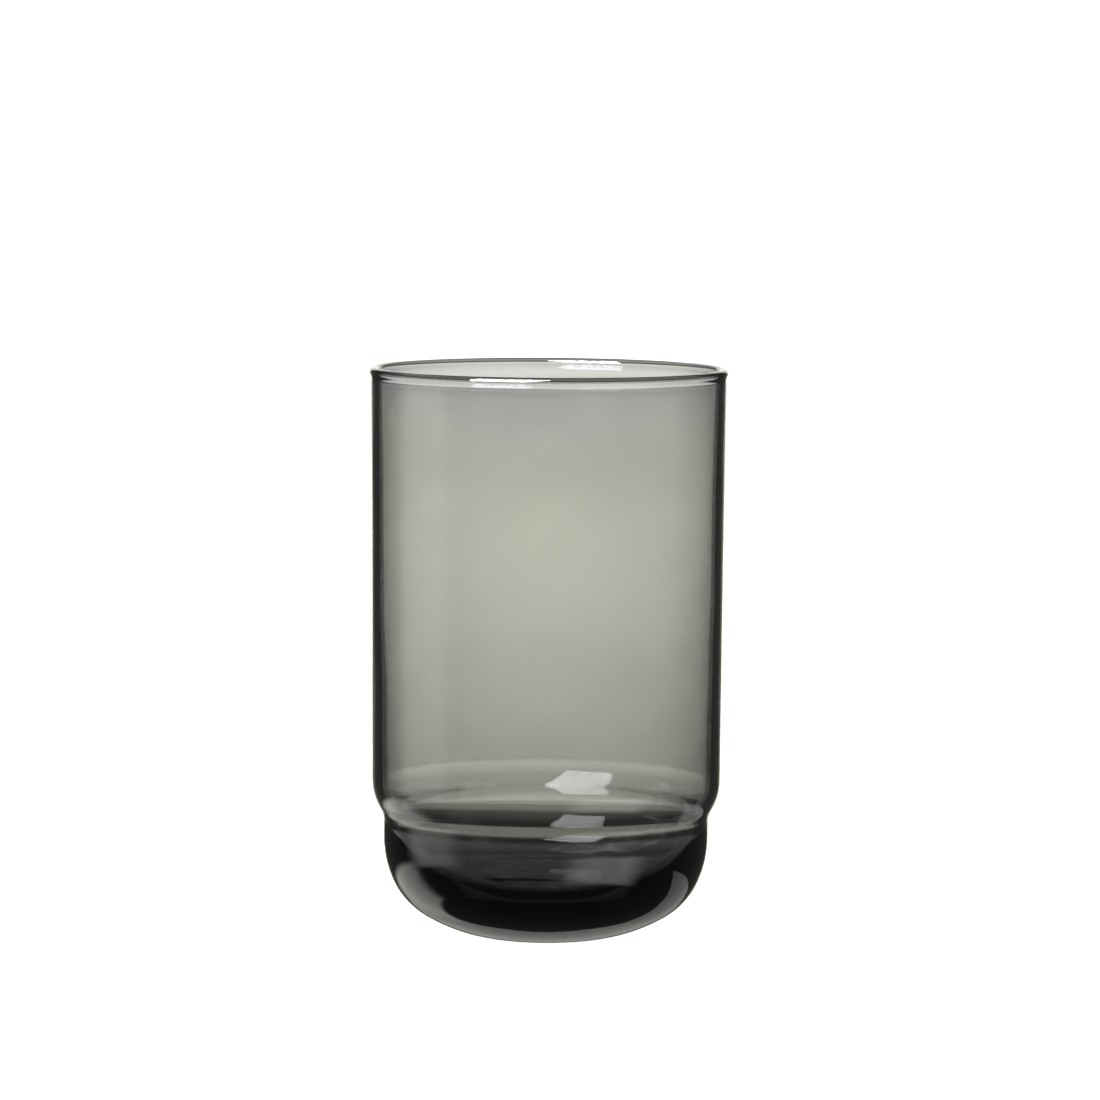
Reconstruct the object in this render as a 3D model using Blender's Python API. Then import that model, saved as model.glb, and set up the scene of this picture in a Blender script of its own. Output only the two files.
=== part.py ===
"""A smoked-glass vase, blown and pressed as one piece of glass.

A plain, nearly straight body runs down to a rounded shoulder, and below it the glass steps in to a foot
that is small enough to sit in the mouth of another vase. The foot rounds off to a small standing face.
Everything is turned about the Z axis, in metres, and the vase stands on z = 0.
"""

from math import acos, atan, cos, pi, radians, sin, sqrt, tan

import bmesh
import bpy
from mathutils import Vector
from mathutils.geometry import interpolate_bezier

# Overall sizes.
RIM_DIAMETER = 0.0800  # over the bead
HEIGHT = 0.1272  # standing face to the top of the rim

# Rim: a fire-polished bead, a little thicker than the wall under it.
BEAD_DIAMETER = 0.0023
BEAD_PROUD = 0.00035  # how far it stands out from the wall's outer face
BEAD_FILLET = 0.0050

# Body: the outer face draws in slightly towards the shoulder, and the wall thickens towards it.
WALL_AT_RIM = 0.0018
WALL_AT_SHOULDER = 0.0023
BODY_DRAFT = 0.00065  # outer radius lost between the rim and the shoulder

# Shoulder: a wide convex round into a tight concave one.
SHOULDER_ROUND = 0.0127
SHOULDER_FILLET = 0.0049

# Foot: it fits in the mouth of a like vase with this much room all round. Under its side, three rounds
# that share tangents bring it in to the standing face.
STACKING_CLEARANCE = 0.0015
FOOT_HEIGHT = 0.0261  # standing face to the bottom of the shoulder
SIDE_ROUND = 0.0244
SIDE_ROUND_ENDS = radians(22)  # from upright
HEEL_ROUND = 0.0176
HEEL_ROUND_ENDS = radians(60)
SOLE_ROUND = 0.0384
STANDING_DIAMETER = 0.0260

# Hollow: the inside steps in with the shoulder, runs down inside the foot and rounds into a floor over a
# thick base.
INNER_SHOULDER_DROP = 0.0004  # how far under the outer shoulder's top the inside begins to step in
INNER_SHOULDER_ROUND = 0.0100
INNER_SHOULDER_TURN = radians(35)
INNER_SHOULDER_FILLET = 0.0050
BASE_THICKNESS = 0.0093
FLAT_FLOOR_DIAMETER = 0.0344
FLOOR_PULL = 0.0080  # how far out from the flat floor its curve stays level
SIDE_PULL = 0.0115  # how far down the foot's side its curve stays steep

# Facets of the solid.
TURNS = 72
ARC_STEPS = 5
CURVE_STEPS = 12

# Sizes that follow from those above.
RIM_RADIUS = RIM_DIAMETER / 2
BEAD_RADIUS = BEAD_DIAMETER / 2
BEAD_CENTRE = (RIM_RADIUS - BEAD_RADIUS, HEIGHT - BEAD_RADIUS)
WALL_OUTER_AT_RIM = RIM_RADIUS - BEAD_PROUD
WALL_OUTER_AT_SHOULDER = WALL_OUTER_AT_RIM - BODY_DRAFT
MOUTH_RADIUS = WALL_OUTER_AT_RIM - WALL_AT_RIM
FOOT_RADIUS = MOUTH_RADIUS - STACKING_CLEARANCE
HOLLOW_RADIUS = WALL_OUTER_AT_SHOULDER - WALL_AT_SHOULDER


def arc(centre, radius, start, end, steps=ARC_STEPS):
    """Points (radius from the axis, height) on an arc, both ends included."""
    angles = [start + (end - start) * i / steps for i in range(steps + 1)]
    return [(centre[0] + radius * cos(a), centre[1] + radius * sin(a)) for a in angles]


def bezier(start, start_handle, end_handle, end):
    """Points along one cubic curve, both ends included."""
    knots = [Vector((x, 0, z)) for x, z in (start, start_handle, end_handle, end)]
    return [(p.x, p.z) for p in interpolate_bezier(*knots, CURVE_STEPS + 1)]


def bead_fillet_drop(wall_gap):
    """How far below the bead's centre its fillet meets a wall face that is wall_gap from that centre."""
    return sqrt((BEAD_RADIUS + BEAD_FILLET) ** 2 - (wall_gap + BEAD_FILLET) ** 2)


def rim_outline():
    """The bead with a fillet to each face of the wall, from the mouth over the top to the outside."""
    inner_gap = BEAD_CENTRE[0] - MOUTH_RADIUS
    outer_gap = WALL_OUTER_AT_RIM - BEAD_CENTRE[0]
    inner_drop = bead_fillet_drop(inner_gap)
    outer_drop = bead_fillet_drop(outer_gap)
    inner_centre = (MOUTH_RADIUS - BEAD_FILLET, BEAD_CENTRE[1] - inner_drop)
    outer_centre = (WALL_OUTER_AT_RIM + BEAD_FILLET, BEAD_CENTRE[1] - outer_drop)
    inner_angle = acos((inner_gap + BEAD_FILLET) / (BEAD_RADIUS + BEAD_FILLET))
    outer_angle = acos((outer_gap + BEAD_FILLET) / (BEAD_RADIUS + BEAD_FILLET))
    inner = arc(inner_centre, BEAD_FILLET, 0, inner_angle)
    bead = arc(BEAD_CENTRE, BEAD_RADIUS, pi + inner_angle, -outer_angle, 12)
    outer = arc(outer_centre, BEAD_FILLET, pi - outer_angle, pi)
    return inner + bead[1:] + outer[1:]


def shoulder_outline():
    """The step from the body to the foot: a convex arc and a concave arc that share a tangent."""
    step = WALL_OUTER_AT_SHOULDER - FOOT_RADIUS
    turn = acos(1 - step / (SHOULDER_ROUND + SHOULDER_FILLET))
    top = FOOT_HEIGHT + (SHOULDER_ROUND + SHOULDER_FILLET) * sin(turn)
    convex = arc((WALL_OUTER_AT_SHOULDER - SHOULDER_ROUND, top), SHOULDER_ROUND, 0, -turn)
    concave = arc((FOOT_RADIUS + SHOULDER_FILLET, FOOT_HEIGHT), SHOULDER_FILLET, pi - turn, pi)
    return convex + concave[1:]


def sole_outline():
    """The foot's round underside, from its side to the centre of the standing face.

    The last round stops where it is level, so a foot too wide for it stands on a wider face.
    """
    side_reach = SIDE_ROUND * (1 - cos(SIDE_ROUND_ENDS))
    heel_reach = HEEL_ROUND * (cos(SIDE_ROUND_ENDS) - cos(HEEL_ROUND_ENDS))
    left = FOOT_RADIUS - side_reach - heel_reach - STANDING_DIAMETER / 2
    sole_ends = acos(max(0, cos(HEEL_ROUND_ENDS) - left / SOLE_ROUND))
    rounds = (
        (SIDE_ROUND, 0, SIDE_ROUND_ENDS),
        (HEEL_ROUND, SIDE_ROUND_ENDS, HEEL_ROUND_ENDS),
        (SOLE_ROUND, HEEL_ROUND_ENDS, sole_ends),
    )
    drop = sum(radius * (sin(end) - sin(start)) for radius, start, end in rounds)
    outline = [(FOOT_RADIUS, drop)]
    for radius, start, end in rounds:
        centre = (outline[-1][0] - radius * cos(start), outline[-1][1] + radius * sin(start))
        outline += arc(centre, radius, -start, -end)[1:]
    return outline + [(0, 0)]


def hollow_outline():
    """The inside, from the centre of its floor up to where the wall is straight."""
    shoulder_top = shoulder_outline()[0][1]
    lean = atan((MOUTH_RADIUS - HOLLOW_RADIUS) / (HEIGHT - shoulder_top))
    wall = HOLLOW_RADIUS - tan(lean) * INNER_SHOULDER_DROP
    centre = (
        wall - INNER_SHOULDER_ROUND * cos(lean),
        shoulder_top - INNER_SHOULDER_DROP + INNER_SHOULDER_ROUND * sin(lean),
    )
    convex = arc(centre, INNER_SHOULDER_ROUND, -INNER_SHOULDER_TURN, -lean)
    across = (INNER_SHOULDER_ROUND + INNER_SHOULDER_FILLET) * cos(INNER_SHOULDER_TURN)
    down = (INNER_SHOULDER_ROUND + INNER_SHOULDER_FILLET) * sin(INNER_SHOULDER_TURN)
    centre = (centre[0] + across, centre[1] - down)
    concave = arc(centre, INNER_SHOULDER_FILLET, pi, pi - INNER_SHOULDER_TURN)
    side = concave[0]
    flat_edge = (FLAT_FLOOR_DIAMETER / 2, BASE_THICKNESS)
    floor_handle = (flat_edge[0] + FLOOR_PULL, BASE_THICKNESS)
    side_handle = (side[0], side[1] - SIDE_PULL)
    curve = bezier(flat_edge, floor_handle, side_handle, side)
    return [(0, BASE_THICKNESS)] + curve + concave[1:] + convex[1:]


def turned_mesh(name, outline):
    """A closed mesh made by spinning an outline, whose two ends lie on the axis, once round Z."""
    mesh = bpy.data.meshes.new(name)
    shape = bmesh.new()
    points = [shape.verts.new((radius, 0, height)) for radius, height in outline]
    edges = [shape.edges.new(pair) for pair in zip(points, points[1:])]
    bmesh.ops.spin(shape, geom=points + edges, axis=(0, 0, 1), angle=2 * pi, steps=TURNS)
    bmesh.ops.remove_doubles(shape, verts=shape.verts, dist=1e-6)
    bmesh.ops.recalc_face_normals(shape, faces=shape.faces)
    shape.to_mesh(mesh)
    shape.free()
    mesh.shade_smooth()
    mesh.set_sharp_from_angle(angle=pi / 6)
    return mesh


def smoked_glass():
    """Clear glass with an even grey tint, fire-polished all over."""
    material = bpy.data.materials.new("smoked_glass")
    material.use_nodes = True
    shader = material.node_tree.nodes["Principled BSDF"]
    shader.inputs["Base Color"].default_value = (0.42, 0.43, 0.39, 1)
    shader.inputs["Metallic"].default_value = 0
    shader.inputs["Roughness"].default_value = 0.02
    shader.inputs["IOR"].default_value = 1.51
    shader.inputs["Transmission Weight"].default_value = 1
    return material


def glass_vase():
    outline = hollow_outline() + rim_outline() + shoulder_outline() + sole_outline()
    vase = bpy.data.objects.new("glass_vase", turned_mesh("glass_vase", outline))
    vase.data.materials.append(smoked_glass())
    bpy.context.scene.collection.objects.link(vase)


for old in list(bpy.context.scene.objects):
    bpy.data.objects.remove(old)
glass_vase()
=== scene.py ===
from math import acos, atan, cos, pi, radians, sin

import bpy
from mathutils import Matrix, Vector
from mathutils.geometry import interpolate_bezier


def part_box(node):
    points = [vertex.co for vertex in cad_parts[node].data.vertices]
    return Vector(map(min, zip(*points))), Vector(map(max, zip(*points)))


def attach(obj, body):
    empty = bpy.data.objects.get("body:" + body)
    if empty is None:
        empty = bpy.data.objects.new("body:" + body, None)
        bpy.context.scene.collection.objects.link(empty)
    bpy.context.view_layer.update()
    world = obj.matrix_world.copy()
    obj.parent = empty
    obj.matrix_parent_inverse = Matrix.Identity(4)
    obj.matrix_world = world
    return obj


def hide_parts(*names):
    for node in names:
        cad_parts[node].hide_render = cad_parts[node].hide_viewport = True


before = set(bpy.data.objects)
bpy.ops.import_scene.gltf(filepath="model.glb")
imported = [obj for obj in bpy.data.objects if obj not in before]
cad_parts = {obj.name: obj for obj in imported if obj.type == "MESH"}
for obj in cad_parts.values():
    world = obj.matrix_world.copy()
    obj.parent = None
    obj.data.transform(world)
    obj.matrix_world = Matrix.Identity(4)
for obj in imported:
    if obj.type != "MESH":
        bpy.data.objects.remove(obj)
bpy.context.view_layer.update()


# The vase: one gather of smoked glass, blown into a mould and fire-polished at the rim. Its
# profile is drawn from the middle of the standing face, round the outside, over the rim and down
# the inside, and then turned once about the upright axis.
high_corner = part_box("glass_vase")[1]
rim_radius = high_corner.x
vase_height = high_corner.z
standing_radius = 0.0130
sole_round = 0.0384
heel_round = 0.0176
heel_round_ends = radians(60)
side_round = 0.0244
side_round_ends = radians(22)
foot_height = 0.0261
shoulder_round = 0.0127
shoulder_fillet = 0.0049
body_draft = 0.00065
bead_radius = 0.00115
bead_proud = 0.00035
bead_fillet = 0.0050
wall_at_rim = 0.0018
wall_at_shoulder = 0.0023
stacking_clearance = 0.0015
inner_shoulder_height = 0.0350
inner_shoulder_round = 0.0100
inner_shoulder_ends = radians(35)
inner_fillet = 0.0050
base_thickness = 0.0093
flat_floor_radius = 0.0172
floor_pull = 0.0080
side_pull = 0.0115
straight_step = 0.0020
foot_side_step = 0.0010
same_point = 1e-6
turn_steps = 256

wall_outer = rim_radius - bead_proud
shoulder_outer = wall_outer - body_draft
mouth_radius = wall_outer - wall_at_rim
foot_radius = mouth_radius - stacking_clearance
shoulder_inner = shoulder_outer - wall_at_shoulder

bpy.ops.object.select_all(action="DESELECT")
bpy.ops.mesh.primitive_plane_add(size=standing_radius, location=(0, 0, 0))
vase = bpy.context.object
vase.name = vase.data.name = "vase_glass"
bpy.ops.object.mode_set(mode="EDIT")
bpy.ops.mesh.select_mode(type="VERT")
bpy.ops.mesh.merge(type="CENTER")
tip = Vector((0, 0, 0))


def draw_to(radius, height):
    """Extrudes the tip of the profile to a point, straight."""
    global tip
    goal = Vector((radius, 0, height))
    bpy.ops.mesh.extrude_region_move(TRANSFORM_OT_translate={"value": goal - tip})
    tip = goal


def draw_straight(radius, height, step=straight_step):
    """Extrudes the tip to a point in even steps, so that shading stays true beside a round."""
    start, goal = tip.copy(), Vector((radius, 0, height))
    count = max(1, round((goal - start).length / step))
    for i in range(1, count + 1):
        point = start.lerp(goal, i / count)
        draw_to(point.x, point.z)


def draw_round(radius, start, end, steps):
    """Extrudes the tip round an arc. Angles are from +X towards +Z, as seen from the front."""
    centre = (tip.x - radius * cos(start), tip.z - radius * sin(start))
    for i in range(1, steps + 1):
        angle = start + (end - start) * i / steps
        draw_to(centre[0] + radius * cos(angle), centre[1] + radius * sin(angle))


def draw_curve(start_pull, end_pull, end, steps):
    """Extrudes the tip along one free curve. The pulls are offsets from its two ends."""
    begin, finish = tip.copy(), Vector((end[0], 0, end[1]))
    first_handle = begin + Vector((start_pull[0], 0, start_pull[1]))
    last_handle = finish + Vector((end_pull[0], 0, end_pull[1]))
    for point in interpolate_bezier(begin, first_handle, last_handle, finish, steps + 1)[1:]:
        draw_to(point.x, point.z)


# Underside: the standing face and three rounds up to the foot's side.
draw_straight(standing_radius, 0)
side_reach = side_round * (1 - cos(side_round_ends))
heel_reach = heel_round * (cos(side_round_ends) - cos(heel_round_ends))
sole_reach = foot_radius - (side_reach + heel_reach) - standing_radius
sole_ends = acos(cos(heel_round_ends) - sole_reach / sole_round)
draw_round(sole_round, -sole_ends, -heel_round_ends, steps=12)
draw_round(heel_round, -heel_round_ends, -side_round_ends, steps=16)
draw_round(side_round, -side_round_ends, 0, steps=12)

# Foot side, shoulder and body.
draw_straight(foot_radius, foot_height, foot_side_step)
shoulder_turn = acos(1 - (shoulder_outer - foot_radius) / (shoulder_round + shoulder_fillet))
draw_round(shoulder_fillet, pi, pi - shoulder_turn, steps=14)
draw_round(shoulder_round, -shoulder_turn, 0, steps=18)
shoulder_top = tip.z

# Rim: a bead a little wider than the wall, with a fillet to each face.
bead_x, bead_z = rim_radius - bead_radius, vase_height - bead_radius
outer_gap = wall_outer - bead_x
inner_gap = bead_x - mouth_radius
outer_angle = acos((outer_gap + bead_fillet) / (bead_radius + bead_fillet))
inner_angle = acos((inner_gap + bead_fillet) / (bead_radius + bead_fillet))
outer_drop = (bead_radius + bead_fillet) * sin(outer_angle)
draw_straight(wall_outer, bead_z - outer_drop)
draw_round(bead_fillet, pi, pi - outer_angle, steps=12)
draw_round(bead_radius, -outer_angle, pi + inner_angle, steps=28)
draw_round(bead_fillet, inner_angle, 0, steps=12)

# Inside: down the wall, in with the shoulder, down the foot and across the floor.
lean = (mouth_radius - shoulder_inner) / (vase_height - shoulder_top)
wall_foot = shoulder_inner + lean * (inner_shoulder_height - shoulder_top)
draw_straight(wall_foot, inner_shoulder_height)
draw_round(inner_shoulder_round, -atan(lean), -inner_shoulder_ends, steps=18)
draw_round(inner_fillet, pi - inner_shoulder_ends, pi, steps=14)
draw_curve((0, -side_pull), (floor_pull, 0), (flat_floor_radius, base_thickness), steps=30)
draw_straight(0, base_thickness)

# The profile is turned into the vase.
bpy.ops.mesh.select_all(action="SELECT")
bpy.ops.mesh.spin(steps=turn_steps, angle=2 * pi, center=(0, 0, 0), axis=(0, 0, 1))
bpy.ops.mesh.select_all(action="SELECT")
bpy.ops.mesh.remove_doubles(threshold=same_point)
bpy.ops.mesh.normals_make_consistent(inside=False)
bpy.ops.object.mode_set(mode="OBJECT")
bpy.ops.object.shade_smooth_by_angle(angle=radians(40))

# Worked by hand, the walls run a little uneven.
uneven_by = 0.00004
unevenness = bpy.data.textures.new("unevenness", "CLOUDS")
unevenness.noise_scale = 0.022
unevenness.noise_depth = 1
bpy.ops.object.modifier_add(type="DISPLACE")
vase.modifiers["Displace"].texture = unevenness
vase.modifiers["Displace"].mid_level = 0.5
vase.modifiers["Displace"].strength = uneven_by
bpy.ops.object.modifier_apply(modifier="Displace")

# Smoked glass: clear and polished, with the tint all through it, so thick glass is darker. The
# tint takes a little more green than red or blue, so the thickest glass looks purple.
smoked_glass = bpy.data.materials.new("smoked_glass")
smoked_glass.use_nodes = True
glass_tree = smoked_glass.node_tree
glass_shader = glass_tree.nodes["Principled BSDF"]
glass_shader.inputs["Base Color"].default_value = (1, 1, 1, 1)
glass_shader.inputs["Metallic"].default_value = 0
glass_shader.inputs["Roughness"].default_value = 0
glass_shader.inputs["IOR"].default_value = 1.51
glass_shader.inputs["Transmission Weight"].default_value = 1
tint = glass_tree.nodes.new("ShaderNodeVolumeAbsorption")
tint.inputs["Color"].default_value = (0.033, 0.0, 0.045, 1)
tint.inputs["Density"].default_value = 305
glass_tree.links.new(tint.outputs["Volume"], glass_tree.nodes["Material Output"].inputs["Volume"])
vase.data.materials.append(smoked_glass)
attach(vase, "root")
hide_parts("glass_vase")


# The floor: a plain pale table top. It is lit evenly enough to leave no shadow, and the glass
# answers to the studio round it and not to the table.
floor_radius = 0.6
floor_drop = 0.0002
bpy.ops.mesh.primitive_circle_add(
    vertices=128,
    radius=floor_radius,
    fill_type="NGON",
    location=(0, 0, -floor_drop),
)
floor = bpy.context.object
floor.name = "floor"
table_white = bpy.data.materials.new("table_white")
table_white.use_nodes = True
table_shader = table_white.node_tree.nodes["Principled BSDF"]
table_shader.inputs["Base Color"].default_value = (0.9, 0.9, 0.88, 1)
table_shader.inputs["Emission Color"].default_value = (1, 1, 1, 1)
table_shader.inputs["Emission Strength"].default_value = 1.1
floor.data.materials.append(table_white)
floor.visible_glossy = False
floor.visible_transmission = False


# The studio: a white sweep behind the vase, lit brightest a little under the horizon, with dark
# sides that draw the edges of the glass, and three soft panels. Directions are in degrees: bearing
# 0 is behind the vase, with the right positive, and height 0 is the horizon.
studio_strength = 2
sweep_low, sweep_high = -25, 25
sweep_edge = (13.5, 18)
sweep_foot = (-21.5, -20.5)
sweep_top = (24, 27)
table_far_edge = (20.5, 21.5)
table_near_edge = (0.84, 0.90)
dark_brightness = 0.03
table_brightness = 0.285
panel_edge = 10
panel_end = 2
never_flat = 0.0001
studio = bpy.data.worlds.new("studio")
bpy.context.scene.world = studio
studio.use_nodes = True
studio_tree = studio.node_tree
studio_tree.nodes.clear()


def reckon(operation, *values):
    """A Math node in the studio's tree, fed with numbers or with other nodes' outputs."""
    node = studio_tree.nodes.new("ShaderNodeMath")
    node.operation = operation
    for socket, value in zip(node.inputs, values):
        if isinstance(value, bpy.types.NodeSocket):
            studio_tree.links.new(value, socket)
        else:
            socket.default_value = value
    return node.outputs[0]


def rising(value, start, end):
    """0 below start, 1 above end, and smooth between."""
    node = studio_tree.nodes.new("ShaderNodeMapRange")
    node.interpolation_type = "SMOOTHSTEP"
    studio_tree.links.new(value, node.inputs["Value"])
    node.inputs["From Min"].default_value = start
    node.inputs["From Max"].default_value = end
    return node.outputs["Result"]


def light_colour(brightness, tint):
    """A tinted light, as a share of the studio's strength."""
    return [brightness * part / studio_strength for part in tint] + [1]


def by_height(height, stops):
    """The sweep's light, which changes with height through stops of (height, brightness, tint)."""
    ramp = studio_tree.nodes.new("ShaderNodeValToRGB")
    span = sweep_high - sweep_low
    place = reckon("DIVIDE", reckon("SUBTRACT", height, sweep_low), span)
    studio_tree.links.new(place, ramp.inputs["Fac"])
    points = ramp.color_ramp.elements
    points[0].color = light_colour(*stops[0][1:])
    points[1].color = light_colour(*stops[-1][1:])
    for stop_height, brightness, tint in stops[1:-1]:
        point = points.new((stop_height - sweep_low) / span)
        point.color = light_colour(brightness, tint)
    return ramp.outputs["Color"]


def blend(factor, first, second):
    """One light or the other, by a mask."""
    node = studio_tree.nodes.new("ShaderNodeMix")
    node.data_type = "RGBA"
    studio_tree.links.new(factor, node.inputs["Factor"])
    for socket, value in zip(node.inputs[6:8], (first, second)):
        if isinstance(value, bpy.types.NodeSocket):
            studio_tree.links.new(value, socket)
        else:
            socket.default_value = value
    return node.outputs[2]


direction = studio_tree.nodes.new("ShaderNodeTexCoord")
parts = studio_tree.nodes.new("ShaderNodeSeparateXYZ")
studio_tree.links.new(direction.outputs["Generated"], parts.inputs["Vector"])
across, away, up = parts.outputs
bearing = reckon("MULTIPLY", reckon("ARCTAN2", across, away), 180 / pi)
height = reckon("MULTIPLY", reckon("ARCSINE", up), 180 / pi)
aside = reckon("ABSOLUTE", bearing)

neutral = (0.97, 1, 0.93)
soft_green = (0.95, 1, 0.89)
green = (0.905, 1, 0.79)
sweep = by_height(
    height,
    [
        (sweep_low, 0.50, neutral),
        (-20.5, 0.40, neutral),
        (-18.4, 0.10, neutral),
        (-13.6, 0.32, green),
        (-12, 0.78, green),
        (-9.2, 0.85, green),
        (-8.6, 1.27, green),
        (-7.05, 1.37, green),
        (-6.8, 1.53, green),
        (-6.3, 1.72, green),
        (-5.96, 1.84, green),
        (-5.6, 1.96, green),
        (-5.3, 2.00, green),
        (-5.0, 1.97, green),
        (-4.7, 1.80, green),
        (-4.36, 1.67, green),
        (-4.04, 1.52, soft_green),
        (-3.8, 1.31, soft_green),
        (-3.52, 1.19, soft_green),
        (-3.36, 1.34, soft_green),
        (-2, 1.30, neutral),
        (sweep_high, 1.10, neutral),
    ],
)
dark_side = [dark_brightness * part for part in neutral] + [1]
table_light = [table_brightness * part for part in neutral] + [1]
between_sides = reckon("SUBTRACT", 1, rising(aside, *sweep_edge))
in_sweep = reckon("MULTIPLY", between_sides, rising(height, *sweep_foot))
in_sweep = reckon("MULTIPLY", in_sweep, reckon("SUBTRACT", 1, rising(height, *sweep_top)))

# Under the sweep the table catches some light, as far as its near edge. That edge is given as how
# far back it lies for each metre down.
down = reckon("MULTIPLY", up, -1)
table_reach = reckon("DIVIDE", away, reckon("MAXIMUM", down, never_flat))
under_sweep = rising(reckon("MULTIPLY", height, -1), *table_far_edge)
on_table = reckon("MULTIPLY", rising(table_reach, *table_near_edge), under_sweep)
light = blend(on_table, dark_side, table_light)


def panel(light, towards, half_width, lowest, highest, brightness):
    """Adds a soft-edged white panel that faces the vase, centred on a bearing."""
    turn = reckon("ABSOLUTE", reckon("SUBTRACT", bearing, towards))
    past_side = rising(turn, half_width - panel_edge, half_width + panel_edge)
    past_foot = rising(height, lowest - panel_end, lowest + panel_end)
    past_top = rising(height, highest - panel_end, highest + panel_end)
    mask = reckon("MULTIPLY", reckon("SUBTRACT", 1, past_side), past_foot)
    mask = reckon("MULTIPLY", mask, reckon("SUBTRACT", 1, past_top))
    return blend(mask, light, light_colour(brightness, neutral))


light = panel(light, towards=-45, half_width=22, lowest=-44, highest=-17, brightness=1.2)
light = panel(light, towards=135, half_width=26, lowest=-36, highest=-11, brightness=1.4)
light = panel(light, towards=-90, half_width=20, lowest=-20, highest=10, brightness=1.0)
light = blend(in_sweep, light, sweep)
studio_light = studio_tree.nodes.new("ShaderNodeBackground")
studio_light.inputs["Strength"].default_value = studio_strength
studio_tree.links.new(light, studio_light.inputs["Color"])

# Past the vase, the camera sees plain white.
plain_white = studio_tree.nodes.new("ShaderNodeBackground")
plain_white.inputs["Color"].default_value = (1.3, 1.3, 1.3, 1)
ray = studio_tree.nodes.new("ShaderNodeLightPath")
choice = studio_tree.nodes.new("ShaderNodeMixShader")
studio_out = studio_tree.nodes.new("ShaderNodeOutputWorld")
studio_tree.links.new(ray.outputs["Is Camera Ray"], choice.inputs["Fac"])
studio_tree.links.new(studio_light.outputs["Background"], choice.inputs[1])
studio_tree.links.new(plain_white.outputs["Background"], choice.inputs[2])
studio_tree.links.new(choice.outputs["Shader"], studio_out.inputs["Surface"])


# The lamp: one softbox above the camera and to its left, turned to face the middle of the vase.
# Bearing 0 is in front of the vase, and a positive bearing is to the right.
lamp_width, lamp_length = 0.8, 1.0
lamp_brightness = 85
lamp_bearing = radians(-33)
lamp_height = radians(42)
lamp_distance = 1.2
softbox = bpy.data.lights.new("softbox", "AREA")
softbox.shape = "RECTANGLE"
softbox.size, softbox.size_y = lamp_width, lamp_length
softbox.energy = lamp_brightness * pi * lamp_width * lamp_length
lamp = bpy.data.objects.new("softbox", softbox)
bpy.context.scene.collection.objects.link(lamp)
to_lamp = Vector(
    (
        sin(lamp_bearing) * cos(lamp_height),
        -cos(lamp_bearing) * cos(lamp_height),
        sin(lamp_height),
    )
)
lamp.location = to_lamp * lamp_distance + Vector((0, 0, vase_height / 2))
lamp.rotation_euler = (-to_lamp).to_track_quat("-Z", "Y").to_euler()


# The camera: a long lens, almost level with the vase.
camera_data = bpy.data.cameras.new("camera")
camera = bpy.data.objects.new("camera", camera_data)
bpy.context.scene.collection.objects.link(camera)
camera_data.sensor_width = 36
camera_data.lens = 233.7
camera_data.shift_x = -0.0017
camera_data.clip_end = 20
camera_distance = 1.591
camera_pitch = radians(4.76)
camera_aim = 0.0865
camera_roll = radians(-0.4)
camera_back = camera_distance * cos(camera_pitch)
camera_rise = camera_distance * sin(camera_pitch)
camera.location = (0, -camera_back, camera_aim + camera_rise)
camera.rotation_euler = (pi / 2 - camera_pitch, camera_roll, 0)
bpy.context.scene.camera = camera

bpy.context.scene.view_settings.view_transform = "Standard"

# Light crosses many faces of glass before it leaves, so it is followed through many bounces.
bpy.context.scene.cycles.max_bounces = 32
bpy.context.scene.cycles.transmission_bounces = 32
bpy.context.scene.cycles.glossy_bounces = 16
bpy.context.scene.cycles.transparent_max_bounces = 16
